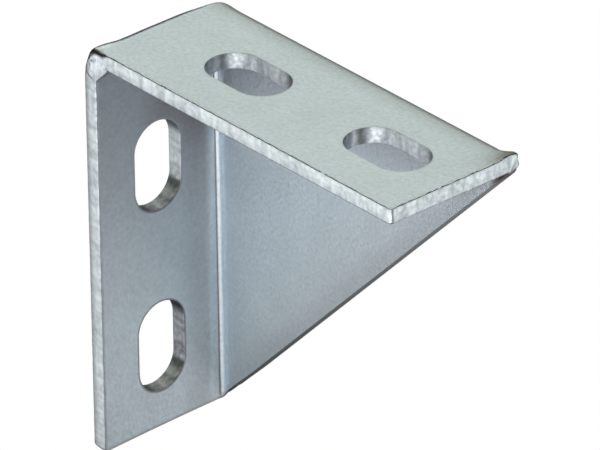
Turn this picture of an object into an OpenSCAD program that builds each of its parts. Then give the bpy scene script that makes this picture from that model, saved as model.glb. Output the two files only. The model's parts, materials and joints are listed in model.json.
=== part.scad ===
// Angle bracket folded from one sheet of steel and zinc plated.
// A triangular web carries two slotted flanges, folded off its two square legs.
// The flanges meet along the heel, where a weld closes the seam.
// The origin is midway between the wall slots, on the outer face of the wall flange.
// +X runs out from the wall, +Z is up, and the web is on the +Y side.

/* [Sheet] */
// Thickness of the sheet
sheet_t = 4; // [2:0.5:6]
// Radius on the inside of both folds
bend_r = 2; // [0.5:0.5:5]

/* [Flanges] */
// Length of the top flange, from the outer face of the wall flange to its free end
top_len = 100; // [85:1:200]
// Length of the wall flange, from the outer face of the top flange to its free end
wall_len = 100; // [85:1:200]
// Width of both flanges, from the free edge to the outer face of the web
flange_w = 38; // [30:1:80]
// Radius of the free corner of each flange
corner_r = 1; // [0.5:0.25:5]

/* [Web] */
// How far the web still reaches past the inner face of a flange at its free end
web_lip = 0; // [0:0.5:20]

/* [Slots] */
// Width of each bolt slot
slot_w = 13; // [6:0.5:18]
// Length of each bolt slot, from end to end
slot_len = 22; // [20:0.5:30]
// Middle of the first slot, from the outer face of the other flange
slot_first = 35; // [28:0.5:40]
// Middle of the last slot, from the free end of its flange
slot_last = 20; // [17:0.5:25]

/* [Weld] */
// How much larger the radius of the weld on the heel is than the sheet is thick
weld_r = 2; // [0.5:0.25:4]
// Radius of the weld drop that covers the seam on the free edges
drop_r = 3.6; // [2:0.1:5]
// Height of the weld drop above the free edges
drop_h = 0.7; // [0.3:0.1:1.5]
// Length of the weld drop inside the corner of the flanges
drop_run = 5; // [2:0.5:12]

/* [Hidden] */
$fn = 96;
// Reach of every cut past the faces that it opens
cut = 5;
// Outer radius of the folds and of the heel
fold_r = sheet_t + bend_r;
heel_r = sheet_t + weld_r;
// The slots lie midway between the free edge and the inner face of the web
slot_mid = (flange_w - sheet_t) / 2;
// Places of the outer faces and the free edges
edge_y = -slot_mid;
web_y = flange_w - slot_mid;
wall_slot_gap = wall_len - slot_first - slot_last;
top_z = slot_first + wall_slot_gap / 2;
end_z = top_z - wall_len;
// Radius of the ball that domes the weld drop
dome_r = (drop_r * drop_r + drop_h * drop_h) / (2 * drop_h);

// Rectangle from the origin, with the corner on its far diagonal rounded
module rounded_sheet(width, height, radius) {
    square([width - radius, height]);
    square([width, height - radius]);
    translate([width - radius, height - radius]) circle(radius);
}

// Long round-ended hole, along the first axis of its plane
module slot_outline() {
    square([slot_len - slot_w, slot_w], center = true);
    for (side = [-1, 1])
        translate([side * (slot_len - slot_w) / 2, 0]) circle(slot_w / 2);
}

// Section across the top fold, extruded along X past both ends
module across_top(width, height, radius) {
    translate([-cut, edge_y - cut, end_z - cut])
        rotate([90, 0, 90])
            linear_extrude(top_len + 2 * cut) rounded_sheet(width + cut, height + cut, radius);
}

// Section across the wall fold, extruded along Z, with its corner at a place along X
module across_wall(width, radius, corner_x) {
    translate([top_len + cut, edge_y - cut, end_z - cut])
        mirror([1, 0, 0])
            linear_extrude(wall_len + 2 * cut)
                rounded_sheet(top_len + cut - corner_x, width + cut, radius);
}

// Side view of the flanges with the round heel, extruded along Y past both sides
module along_heel() {
    translate([top_len, web_y + cut, end_z])
        rotate([90, 0, 0])
            linear_extrude(flange_w + 2 * cut) mirror([1, 0]) rounded_sheet(top_len, wall_len, heel_r);
}

// Outline of a flange seen square on, from the heel along X, with its free corner rounded
module flange_outline(length) {
    translate([-cut, web_y + cut])
        mirror([0, 1]) rounded_sheet(length + cut, flange_w + cut, corner_r);
}

// Block inside the outer faces, with the two folds and the heel rounded
module outer_block() {
    intersection() {
        across_top(flange_w, wall_len, fold_r);
        across_wall(flange_w, fold_r, 0);
        along_heel();
        translate([0, 0, end_z - cut]) linear_extrude(wall_len + 2 * cut) flange_outline(top_len);
        translate([-cut, 0, top_z])
            rotate([0, 90, 0]) linear_extrude(top_len + 2 * cut) flange_outline(wall_len);
    }
}

// Space between the flanges and the web, with the insides of the folds rounded
module inner_space() {
    intersection() {
        across_top(flange_w - sheet_t, wall_len - sheet_t, bend_r);
        across_wall(flange_w - sheet_t, bend_r, sheet_t);
    }
}

// Corner beyond the slanted edge of the web, between the free ends of the flanges
module web_slant() {
    start = [top_len, top_z - sheet_t - web_lip];
    finish = [sheet_t + web_lip, end_z];
    run = finish - start;
    past = cut / norm(run) * run;
    translate([0, web_y + cut, 0])
        rotate([90, 0, 0])
            linear_extrude(flange_w + 2 * cut)
                polygon([start - past, finish + past, [top_len + 2 * cut, end_z - 2 * cut]]);
}

// The two bolt slots of one flange, as cutters through a sheet that lies on the XY plane
module slot_pair(length) {
    for (place = [slot_first, length - slot_last])
        translate([place, 0, -sheet_t - cut])
            linear_extrude(sheet_t + 2 * cut) slot_outline();
}

// Weld drop on the free edges at the heel, inside the rounded outline of the flanges
module weld_drop() {
    intersection() {
        translate([sheet_t, edge_y - drop_h, top_z - sheet_t])
            rotate([-90, 0, 0])
                intersection() {
                    cylinder(h = drop_h + drop_run, r = drop_r);
                    translate([0, 0, dome_r]) sphere(dome_r);
                }
        along_heel();
    }
}

module bracket() {
    color("silver") {
        difference() {
            outer_block();
            inner_space();
            web_slant();
            translate([0, 0, top_z]) slot_pair(top_len);
            translate([0, 0, top_z]) mirror([1, 0, 0]) rotate([0, 90, 0]) slot_pair(wall_len);
        }
        weld_drop();
    }
}

bracket();
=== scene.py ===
import json
import math

import bmesh
import bpy
import numpy as np
from bpy.props import FloatProperty, FloatVectorProperty, IntProperty, PointerProperty
from mathutils import Matrix, Vector


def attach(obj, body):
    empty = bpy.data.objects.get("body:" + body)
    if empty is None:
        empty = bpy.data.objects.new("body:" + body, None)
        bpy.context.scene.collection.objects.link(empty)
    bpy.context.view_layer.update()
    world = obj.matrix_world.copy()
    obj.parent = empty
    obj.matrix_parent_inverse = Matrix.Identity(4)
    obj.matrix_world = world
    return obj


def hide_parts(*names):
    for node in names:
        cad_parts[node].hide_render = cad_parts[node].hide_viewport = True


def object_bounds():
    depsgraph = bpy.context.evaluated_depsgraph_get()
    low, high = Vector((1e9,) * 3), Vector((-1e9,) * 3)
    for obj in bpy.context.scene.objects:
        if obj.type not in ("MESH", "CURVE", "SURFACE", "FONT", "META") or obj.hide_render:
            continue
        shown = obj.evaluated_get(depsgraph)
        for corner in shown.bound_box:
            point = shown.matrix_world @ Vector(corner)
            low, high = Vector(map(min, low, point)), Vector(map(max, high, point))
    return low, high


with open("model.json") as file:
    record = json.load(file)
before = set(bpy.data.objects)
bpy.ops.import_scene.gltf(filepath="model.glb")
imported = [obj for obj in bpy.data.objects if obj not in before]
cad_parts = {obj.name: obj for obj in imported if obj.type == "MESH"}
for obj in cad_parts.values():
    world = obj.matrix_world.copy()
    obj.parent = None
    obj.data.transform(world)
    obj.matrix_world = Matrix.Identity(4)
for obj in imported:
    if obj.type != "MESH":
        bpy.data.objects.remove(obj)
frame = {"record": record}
CAD_LOW, CAD_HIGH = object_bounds()

bl_info = {
    "name": "Zinc-plated angle bracket",
    "version": (1, 0, 0),
    "blender": (4, 5, 0),
    "location": "3D View > Sidebar > Bracket",
    "description": "Dresses a folded angle bracket with sheared edges, a heel weld and its zinc finish",
    "category": "Object",
}

MM = 0.001
SHEET = 4 * MM
NODE = "bracket"
BODY = "root"
MOUNTS = {mount["name"]: mount for mount in frame["record"]["mounts"]}
SLOT_SIZES = MOUNTS["top_slots"]["dims"]
# The slots lie on the middle of the frame, halfway from the free edges to the inside of the web
FREE_EDGE = -(CAD_HIGH.y - SHEET)


def linear(code):
    """Linear light of an sRGB hex colour: each channel to the power 2.4 after its offset, or over 12.92."""
    channels = [int(code[i : i + 2], 16) / 255 for i in (0, 2, 4)]
    return [c / 12.92 if c <= 0.04045 else ((c + 0.055) / 1.055) ** 2.4 for c in channels]


def per(size):
    """Scale of a pattern whose features are that many millimetres across, on coordinates in metres."""
    return 1 / (size * MM)


# Sizes, finish and studio


def length(name, description, default):
    """A size in metres, shown with its unit."""
    return FloatProperty(name=name, description=description, default=default, unit="LENGTH", precision=5)


def share_of(name, description, default):
    """A share from 0 to 1."""
    return FloatProperty(name=name, description=description, default=default, subtype="FACTOR")


def colour(name, description, code):
    """A colour given as an sRGB hex value and kept in linear light."""
    return FloatVectorProperty(
        name=name, description=description, default=linear(code), subtype="COLOR", min=0, max=1
    )


class BracketSizes(bpy.types.PropertyGroup):
    """Sizes of the folded sheet, its cut edges and its weld."""

    reach: length("Reach", "Length of each flange from the heel", CAD_HIGH.x)
    width: length("Width", "Width of a flange over the web", CAD_HIGH.y - FREE_EDGE)
    sheet: length("Sheet", "Thickness of the sheet", SHEET)
    fold: length("Fold", "Outer radius of the folds and of the heel", 6 * MM)
    crease: length("Crease", "Inner radius of the folds where the punch pressed", 1.2 * MM)
    slot_length: length("Slot length", "Slot from end to end", SLOT_SIZES["slot_length_mm"] * MM)
    slot_width: length("Slot width", "Slot from side to side", 2 * SLOT_SIZES["hole_r_mm"] * MM)
    slot_gap: length("Slot spacing", "Between the slots of a flange", SLOT_SIZES["spacing_x_mm"] * MM)
    slot_first: length("First slot", "Heel to the middle of the first slot", 35 * MM)
    corner: length("Corner", "Radius of the free corners", 1 * MM)
    rim: length("Slot margin", "Flat margin round a slot's rim", 0.6 * MM)
    slant_back: length("Slant back", "How far the slanted edge stops short along the flanges", 0.5 * MM)
    slant_pull: length("Slant pull", "How far its lower end is drawn in", 0.2 * MM)
    flare: length("Fold flare", "How far the outside of a fold flares at its free end", 1.15 * MM)
    flare_run: length("Flare length", "Length over which the flare dies away", 4.0 * MM)
    squeeze: length("Fold bulge", "How far the inside of a fold is squeezed out at its end", 0.25 * MM)
    draw_in: length("Fold draw-in", "How far the outside of a fold is drawn in at its end", 1.05 * MM)
    wall_draw_in: length("Wall draw-in", "The same on the wall flange's fold", 0.45 * MM)
    heel_drop: length("Heel drop", "How far the dressed weld lies below the round of the heel", 0.12 * MM)
    heel_dip: length("Heel dip", "How far it falls further at the far corner", 0.72 * MM)
    heel_bump: length("Heel bump", "How far the fold stands proud next to that corner", 0.2 * MM)
    heel_nose: length("Heel nose", "How far the weld rises on the top side at the free edge", 0.35 * MM)
    wall_skew: length("Wall skew", "How much longer the wall flange is at its free corner", 0.75 * MM)
    heel_wave: length("Heel wave", "Unevenness of the dressed weld along the heel", 0.04 * MM)
    weld_middle: length("Weld middle", "Middle of the weld drop from both outer faces", 3.9 * MM)
    weld_reach: length("Weld reach", "Radius of the weld drop", 4.3 * MM)
    weld_height: length("Weld height", "Height of the weld drop on the free edges", 0.25 * MM)
    weld_ripple: length("Weld ripple", "Height of the ripples on the weld drop", 0.012 * MM)


def cut_group(name, text, roll_width, roll_depth, ragged, dome, tear, edge_break, torn):
    """A property group for one kind of cut edge, from the face where the cut began to the other, with its
    lengths in millimetres."""
    fields = {
        "roll_width": length("Rollover width", "How far the cut drew the face down", roll_width * MM),
        "roll_depth": length("Rollover depth", "How deep the drawn-down edge is", roll_depth * MM),
        "ragged": share_of("Raggedness", "Share by which the rollover wanders", ragged),
        "dome": length("Shoulder", "How far the cut leans back next to the rollover", dome * MM),
        "tear": length("Tear height", "Height of the torn streaks", tear * MM),
        "edge_break": length("Edge break", "Rounding at the other face", edge_break * MM),
        # The darkening share stands for steel that tore and, on the slots, the slant and the notch, also for
        # painted shade
        "torn": share_of("Torn", "Share by which the cut is torn and dull", torn),
    }
    return type(name, (bpy.types.PropertyGroup,), {"__doc__": text, "__annotations__": fields})


FreeCut = cut_group(
    "FreeCut",
    "Sheared edges of the top flange.",
    roll_width=0.22, roll_depth=0.45, ragged=0.45, dome=0.12, tear=0.006, edge_break=0.45, torn=0,
)
WallCut = cut_group(
    "WallCut",
    "Sheared edges of the wall flange.",
    roll_width=0.2, roll_depth=0.4, ragged=0.1, dome=0.32, tear=0.004, edge_break=0.3, torn=0.2,
)
HeelCut = cut_group(
    "HeelCut",
    "Free edges at the heel, rounded by the weld.",
    roll_width=0.95, roll_depth=1.7, ragged=0, dome=0, tear=0, edge_break=0.3, torn=0,
)
TopSlotCut = cut_group(
    "TopSlotCut",
    "Punched slots of the top flange.",
    roll_width=0.1, roll_depth=0.15, ragged=0.2, dome=0, tear=0.003, edge_break=0.1, torn=0.54,
)
WallSlotCut = cut_group(
    "WallSlotCut",
    "Punched slots of the wall flange.",
    roll_width=0.1, roll_depth=0.15, ragged=0.2, dome=0, tear=0.008, edge_break=0.1, torn=0.74,
)
SlantCut = cut_group(
    "SlantCut",
    "Sheared slant of the web.",
    roll_width=0.12, roll_depth=0.2, ragged=0.2, dome=0, tear=0.004, edge_break=0.15, torn=0.5,
)
# The notch is fully dark, with the face beside it: painted shade under the fold's end
NotchCut = cut_group(
    "NotchCut",
    "Ends of the slant at the folds.",
    roll_width=0.6, roll_depth=1, ragged=0.05, dome=0, tear=0.002, edge_break=0.15, torn=1,
)


class ZincFinish(bpy.types.PropertyGroup):
    """Colours and gloss of the zinc plating."""

    face: colour("Rolled face", "Zinc on the rolled faces", "e9f4fd")
    face_dull: colour("Dull face", "Zinc where the bath left it duller", "d7e1ea")
    # Colour of the painted shade on the faces: over the outer folds, along the crease, under the top flange
    # and inside the wall flange
    face_shade: colour("Face shade", "Thin zinc where a face was stretched or sheltered in the bath", "644a40")
    edge: colour("Sheared edge", "Zinc on the sheared edges", "ecf5f8")
    edge_dull: colour("Dull edge", "Zinc in the hollows of the sheared edges", "bfcbcf")
    # Dark colour of steel that tore, also used for painted shade on the cut edges and on the weld
    torn: colour("Torn edge", "Thin zinc on torn steel", "4f4c58")
    weld: colour("Weld", "Zinc on the weld", "eef4f8")
    weld_dull: colour("Weld hollows", "Zinc between the ripples of the weld", "c0cad0")
    face_roughness: share_of("Face roughness", "Roughness of the rolled faces", 0.62)
    fold_roughness: share_of("Fold roughness", "Roughness where the tool rubbed", 0.22)
    edge_roughness: share_of("Edge roughness", "Roughness of the sheared edges", 0.34)
    weld_roughness: share_of("Weld roughness", "Roughness of the weld", 0.22)


class StudioView(bpy.types.PropertyGroup):
    """Camera and light of the studio."""

    azimuth: FloatProperty(
        name="Azimuth",
        description="Camera's place round the bracket",
        default=math.radians(49.369),
        subtype="ANGLE",
    )
    elevation: FloatProperty(
        name="Elevation",
        description="Camera above the horizon",
        default=math.radians(29.228),
        subtype="ANGLE",
    )
    roll: FloatProperty(
        name="Roll", description="Camera's tilt to the right", default=math.radians(0.925), subtype="ANGLE"
    )
    aim: FloatVectorProperty(
        name="Aim",
        description="Point that the camera looks at",
        default=(43.57 * MM, 6.47 * MM, 21.57 * MM),
        unit="LENGTH",
    )
    distance: length("Distance", "From the camera to its aim", 2420.4 * MM)
    lens: FloatProperty(name="Lens", description="Focal length in millimetres", default=674)
    sensor: FloatProperty(name="Sensor", description="Width of the sensor in millimetres", default=36)
    sight: length("Sight", "How far the camera sees", 20)
    floor_drop: length("Floor drop", "From the bracket's lowest point down to the floor", 90 * MM)
    floor_radius: length("Floor radius", "Radius of the floor", 900 * MM)
    ring_radius: length("Ring radius", "Distance of the brightest part of the floor", 360 * MM)
    ring_width: length("Ring width", "Reach of the brightest part to either side", 80 * MM)
    ring_glow: FloatProperty(name="Ring light", description="Light added in its middle", default=6.0)
    back_light: FloatProperty(name="Backdrop", description="Light of the room behind", default=0.98)
    floor_facets: IntProperty(name="Floor facets", description="Facets round the floor", default=96)
    floor_rings: IntProperty(name="Floor rings", description="Rings of the floor", default=4)


# Surfaces, in lengths out from the wall, across from the free edges and down from the top face

# Steps of the grids
COLUMNS = 144
ROWS = 56
HEEL_COLUMNS = 8
FOLD_ROWS = 20
CORNER_STEPS = 8
RING_SHARES = np.array([0, 0.03, 0.1, 0.22, 0.4, 0.6, 0.78, 0.9, 0.97, 1])
# Channels of a cut's section; the darkening channel holds steel that tore and painted shade
DEPTH, SETBACK, ROLL, TEARS, TORN_AND_SHADE, BARE, RUBBED = range(7)
# Steps of a quarter arc and of the straight part in a cut's section
ARC_STEPS = 6
BODY_STEPS = 5
# Rows of a cut's section: its first side, the rollover and its steep part, the broken edge, the other side
OUTER_ROWS = slice(0, 7)
ROLLED_ROWS = slice(2, 7)
STEEP_ROWS = slice(4, 7)
BROKEN_ROWS = slice(15, 19)
INNER_ROWS = slice(-7, None)
# Seeds of the unevenness of the heel, of the rollover, of the torn streaks and of the weld
HEEL_SEED, WANDER_SEED, STREAK_SEED, RIPPLE_SEED = 3, 11, 12, 21
# Shortest and longest of the waves that make up an unevenness, as shares of its pitch
WAVE_SHARES = (0.6, 1.7)


def waves(points, pitch, seed, count=14):
    """Smooth unevenness of about unit height: the sum of sine waves with seeded headings and lengths near
    the pitch, over the root of half their number."""
    draw = np.random.default_rng(seed)
    heading = draw.normal(size=(count, 3))
    heading /= np.linalg.norm(heading, axis=1, keepdims=True)
    turns = 2 * np.pi / (pitch * draw.uniform(*WAVE_SHARES, count))
    phase = draw.uniform(0, 2 * np.pi, count)
    return np.sin(points @ (heading * turns[:, None]).T + phase).sum(-1) / math.sqrt(count / 2)


def smooth(share):
    """Rises from 0 to 1 with level ends: three squares less two cubes of the clamped share."""
    share = np.clip(share, 0, 1)
    return share * share * (3 - 2 * share)


def eased(value, start, finish):
    """Goes smoothly from 0 where the value is at the start to 1 at the finish, which may be the lower one."""
    return smooth((value - start) / (finish - start))


def bell(offset, width):
    """Bell curve: 1 at no offset, falling as the exponential of the squared share of the width."""
    return np.exp(-((offset / width) ** 2))


def place(*parts):
    """Stacks arrays that broadcast together into points, one array for each coordinate."""
    return np.stack(np.broadcast_arrays(*parts), axis=-1)


def fold_section(s, depth):
    """Section of a fold from the flange to the web, as its angle, place across and place down: a quarter of a
    circle outside, and inside a smaller one between short straight runs."""
    if depth == 0:
        angle = np.radians(np.linspace(0, 90, FOLD_ROWS + 1))
        return angle, s.width - s.fold * (1 - np.sin(angle)), s.fold * (1 - np.cos(angle))
    angle = np.radians(np.linspace(0, 90, FOLD_ROWS - 1))
    across = s.width - depth - s.crease * (1 - np.sin(angle))
    down = depth + s.crease * (1 - np.cos(angle))
    across = np.concatenate([[s.width - s.fold], across, [s.width - depth]])
    return np.pad(angle, 1, mode="edge"), across, np.concatenate([[depth], down, [s.fold]])


def flange_columns(s):
    """Places along a flange, evenly from the end of the heel to the margin at the free end."""
    return np.linspace(s.fold, s.reach - s.corner, COLUMNS + 1)


def flange_rows(s):
    """Places across a flange, evenly from the margin at the free edge to the fold."""
    return np.linspace(s.corner, s.width - s.fold, ROWS + 1)


def heel_columns(s, depth):
    """Section of the heel from the mitre to the flange: an eighth of a circle outside, a straight line
    inside, and in between a blend by depth."""
    angle = np.radians(np.linspace(45, 90, HEEL_COLUMNS + 1))
    share = np.linspace(0, 1, HEEL_COLUMNS + 1)
    outside = place(s.fold * (1 - np.cos(angle)), s.fold * (1 - np.sin(angle)))
    inside = place(s.sheet + (s.fold - s.sheet) * share, s.sheet + 0 * share)
    return outside + (inside - outside) * (depth / s.sheet)


# Turns round a fold, in degrees, between which its free end takes the slant, is drawn in and is let go again
SLANT_TURN = (30, 90)
DRAWN_TURN = (25, 67)
FREED_TURN = (90, 68)
# Half the depth over which that end turns from square to the slant
TURN_ZONE = 0.6 * MM


def fold_end(s, depth, side):
    """Where the skin of a fold ends, at each row, and the tilt of that end in the skin. The end is square
    across the flange and turns to the slant of the web where the fold passes the inner face; the inside is
    squeezed out there and the outside drawn in."""
    angle, _, down = fold_section(s, depth)
    turn = np.degrees(angle)
    past = eased(down, s.sheet - TURN_ZONE, s.sheet + TURN_ZONE) if depth == 0 else 1.0
    tilt = np.arctan(np.sin(angle) * past)
    slant = np.maximum(0, down - s.sheet + s.slant_back * eased(turn, *SLANT_TURN))
    if depth == 0:
        drawn = s.draw_in if side > 0 else s.wall_draw_in
        shift = -drawn * eased(turn, *DRAWN_TURN) * eased(turn, *FREED_TURN)
    else:
        shift = s.squeeze * np.sin(2 * angle) ** 2
    return s.reach - slant - s.corner / np.cos(tilt) + shift, tilt


# Along the heel from the free edge: place and width of the dip, where the nose fades, and the waves' pitch
DIP_AT = 33 * MM
DIP_WIDTH = 4.5 * MM
NOSE_FADE = (8 * MM, 2 * MM)
HEEL_PITCH = 7 * MM
# Share of the nose's height by which the mitre rises there
MITRE_RISE = 0.2
# How far along the fold the bump beside the dip reaches
BUMP_RUN = 2.5 * MM


def heel_rise(s, along, share, side):
    """How far the dressed weld stands off the round of the heel: a little below it, with a dip at the far
    corner, slow waves, and a nose at the free edge that is high on the top side and hollow on the other."""
    dip = s.heel_drop + s.heel_dip * bell(along - DIP_AT, DIP_WIDTH)
    near = eased(along, *NOSE_FADE)
    wave = s.heel_wave * waves(place(0, along, 0), HEEL_PITCH, HEEL_SEED)
    fall = dip + (-MITRE_RISE * s.heel_nose - dip) * near
    nose = s.heel_nose if side > 0 else -s.heel_nose
    return (wave - fall) * (1 - share**2) ** 2 + nose * near * np.sin(np.pi * share)


# Flare at a fold's free end: its crest past the start of the fold, its width on either side of it, the
# length over which it fades to the web, and the power that sharpens it towards the end
CREST = 3.5 * MM
FLANGE_SIDE = 3.2 * MM
WEB_SIDE = 1.7 * MM
WEB_FADE = 2 * MM
FLARE_POWER = 1.3


def end_lift(s, across, from_end):
    """How far the outer skin is lifted near the free end, by its place across along the skin and the distance
    from the end: a bell over the start of the fold, wider towards the flange, times a ramp that rises to the
    end."""
    offset = across - (s.width - s.fold + CREST)
    crest = bell(offset, np.where(offset < 0, FLANGE_SIDE, WEB_SIDE))
    before_web = s.width - s.fold + s.fold * np.pi / 2 - across
    risen = np.clip(1 - from_end / s.flare_run, 0, 1) ** FLARE_POWER
    return s.flare * crest * smooth(before_web / WEB_FADE) * risen


# Painted shade on the outer skin of a fold, where it turns away: the most at its free end, the length over
# which that fades, the share along the whole fold, and how far before the fold that starts and over what
# width it grows
FOLD_END_SHADE = 0.75
FOLD_END_FADE = 3 * MM
BENT_SHADE = 0.4
BENT_BEFORE = 4 * MM
BENT_RUN = 10 * MM


def fold_shade(s, across, from_end):
    """How thin the zinc is on the outer skin of a fold: the larger of a smooth rise across the fold, and a
    bell over it that dies away exponentially from the free end."""
    start = s.width - s.fold - BENT_BEFORE
    along_fold = BENT_SHADE * eased(across, start, start + BENT_RUN)
    crest = bell(across - s.width + s.fold / 2, s.fold)
    return np.maximum(along_fold, FOLD_END_SHADE * crest * np.exp(-from_end / FOLD_END_FADE))


# Painted shade inside the wall flange, under the top flange: each share, and the places down or across where
# it starts and is full
TOP_SHADE = 0.48
TOP_DOWN = (86 * MM, 0)
BY_FOLD_SHADE = 0.16
FOLD_ACROSS = (21 * MM, 28 * MM)
CORNER_SHADE = 0.25
CORNER_DOWN = (40 * MM, 20 * MM)
CORNER_ACROSS = (10 * MM, 22 * MM)
# The strip next to the fold that the punch pressed, over which the painted shade is taken away again
STRIP_SHADE_LIFT = 0.5
STRIP_START = 30.4 * MM
STRIP_RUN = 2.4 * MM


def shaded(points):
    """How thin the zinc is on the inside of the wall flange: the sum of smooth rises towards the top, towards
    the fold and into the upper corner, less a straight rise over the pressed strip next to the fold."""
    across, down = points[..., 1], points[..., 2]
    by_top = TOP_SHADE * eased(down, *TOP_DOWN)
    by_fold = BY_FOLD_SHADE * eased(across, *FOLD_ACROSS)
    by_corner = CORNER_SHADE * eased(down, *CORNER_DOWN) * eased(across, *CORNER_ACROSS)
    pressed = STRIP_SHADE_LIFT * np.clip((across - STRIP_START) / STRIP_RUN, 0, 1)
    return np.maximum(0, by_top + by_fold + by_corner - pressed)


def heel_turn():
    """Angle round the heel from the mitre to the flange, an eighth of a turn, with its shares."""
    share = np.linspace(0, 1, HEEL_COLUMNS + 1)
    return np.radians(45 + 45 * share), share


def fold_patch(s, depth, side=1):
    """Skin of a fold and of the heel's far corner: the fold's section carried along it, and an eighth of a
    ball at the heel outside, or the fold's own mitre inside. The outside flares towards the free end."""
    angle, across, down = (part[:, None] for part in fold_section(s, depth))
    end, _ = fold_end(s, depth, side)
    along = s.fold + (end[:, None] - s.fold) * np.linspace(0, 1, COLUMNS + 1)
    turn, share = heel_turn()
    if depth == 0:
        bump = s.heel_bump * np.sin(2 * angle) ** 2
        on_skin = s.width - s.fold + s.fold * angle
        swell = end_lift(s, on_skin, end[:, None] - along) + bump * bell(along - s.fold, BUMP_RUN)
        rise = heel_rise(s, on_skin, share, side) * np.cos(angle) ** 2
        proud = s.fold + rise + bump * smooth(share)
        corner = place(
            s.fold - proud * np.cos(angle) * np.cos(turn),
            s.width - s.fold + proud * np.sin(angle),
            s.fold - proud * np.cos(angle) * np.sin(turn),
        )
    else:
        swell = 0 * along
        corner = place(down + (s.fold - down) * share, across, down)
    body = place(along, across + swell * np.sin(angle), down - swell * np.cos(angle))
    return np.concatenate([corner[:, :-1], body], axis=1)


def heel_patch(s, depth, side=1):
    """Skin of the heel: its section carried across the flange, and moved off its round by the weld's rise."""
    section = heel_columns(s, depth)
    rows = flange_rows(s)[:, None]
    points = place(section[:, 0], rows, section[:, 1])
    if depth == 0:
        turn, share = heel_turn()
        rise = heel_rise(s, rows, share, side)
        points = points - place(rise * np.cos(turn), 0, rise * np.sin(turn))
    return points


def slot_cell(s, first, depth):
    """Flat skin round one slot, as rings, and the direction into the slot at each step: each point of the
    cell's outline is joined to the foot of its shortest line to the slot's margin, and the rings divide those
    lines."""
    columns = flange_columns(s)
    half = COLUMNS // 2
    columns = columns[: half + 1] if first else columns[half:]
    rows = flange_rows(s)
    outline = np.concatenate(
        [
            place(columns[:-1], rows[0]),
            place(columns[-1], rows[:-1]),
            place(columns[:0:-1], rows[-1]),
            place(columns[0], rows[:0:-1]),
        ]
    )
    middle = np.array([s.slot_first + (0 if first else s.slot_gap), (s.width - s.sheet) / 2])
    straight = (s.slot_length - s.slot_width) / 2
    core = middle + place(np.clip(outline[:, 0] - middle[0], -straight, straight), 0)
    heading = outline - core
    heading /= np.linalg.norm(heading, axis=1, keepdims=True)
    foot = core + (s.slot_width / 2 + s.rim) * heading
    flat = foot + (outline - foot) * RING_SHARES[:, None, None]
    lift = end_lift(s, flat[..., 1], columns[-1] - flat[..., 0]) * (depth == 0 and not first)
    return place(flat[..., 0], flat[..., 1], depth - lift), place(-heading[:, 0], -heading[:, 1], 0)


def free_edge(s, depth, side):
    """Path of the skin's boundary along the free edge, round the free corner, across the free end and round
    the fold, with the direction that points out of the sheet at each step."""
    heel = heel_patch(s, depth, side)[0]
    edge = s.corner
    columns = flange_columns(s)
    rows = flange_rows(s)
    angle, _, _ = fold_section(s, depth)
    _, tilt = fold_end(s, depth, side)
    fan = np.radians(np.linspace(-90, 0, CORNER_STEPS + 1))
    points = np.concatenate(
        [
            heel[:-1],
            place(columns[:-1], edge, depth),
            place(columns[-1] + 0 * fan, edge, depth),
            place(columns[-1], rows[1:], depth - end_lift(s, rows[1:], 0) * (depth == 0)),
            fold_patch(s, depth, side)[1:, -1],
        ]
    )
    sideways = np.zeros((HEEL_COLUMNS + COLUMNS, 3)) - np.array([0, 1, 0])
    turning = place(np.cos(fan), np.sin(fan), 0)
    square = np.zeros((ROWS, 3)) + np.array([1, 0, 0])
    round_fold = place(np.cos(tilt), np.sin(tilt) * np.cos(angle), np.sin(tilt) * np.sin(angle))[1:]
    return points, np.concatenate([sideways, turning, square, round_fold])


def web_corners(s):
    """Distance of the web's skin corners from the outer faces: at the heel, and at the far ends of its
    legs, where the slant leaves a margin square to itself."""
    return s.fold, s.reach - (s.fold - s.sheet) - s.slant_back - s.corner * math.sqrt(2)


def web_lattice(s, depth):
    """Skin of the web: the points of a triangle that divide both its legs evenly, with its quads and the
    triangles along the slant."""
    near, far = web_corners(s)
    leg = np.linspace(near, far, COLUMNS + 1)
    i, j = np.meshgrid(np.arange(COLUMNS + 1), np.arange(COLUMNS + 1), indexing="ij")
    inside = i + j <= COLUMNS
    number = np.cumsum(inside).reshape(inside.shape) - 1
    points = place(leg[i[inside]], s.width - depth, leg[j[inside]])
    i, j = np.nonzero(i[:-1, :-1] + j[:-1, :-1] < COLUMNS - 1)
    quads = np.stack([number[i, j], number[i + 1, j], number[i + 1, j + 1], number[i, j + 1]], axis=1)
    i = np.arange(COLUMNS)
    j = COLUMNS - 1 - i
    return points, quads, np.stack([number[i, j], number[i + 1, j], number[i, j + 1]], axis=1)


def web_slant(s, depth):
    """Path of the web's slanted boundary, and the direction out of the sheet along it."""
    near, far = web_corners(s)
    leg = np.linspace(near, far, COLUMNS + 1)
    out = np.zeros((COLUMNS + 1, 3)) + np.array([1, 0, 1]) * math.sqrt(0.5)
    return place(leg[::-1], s.width - depth, leg), out


# Share of the sheet over which a cut's shoulder leans back, and share of the margin that the row next to the
# rollover takes
SHOULDER_REACH = 0.6
MARGIN_SHARE = 0.2
# Lengths over which the tears rise after the rollover and fall before the other edge
TEAR_RISE = 1 * MM
TEAR_FALL = 0.3 * MM
# Painted shade on a broken edge, and the share of its height over which that grows
BREAK_SHADE = 0.35
BREAK_RUN = 0.4


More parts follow.
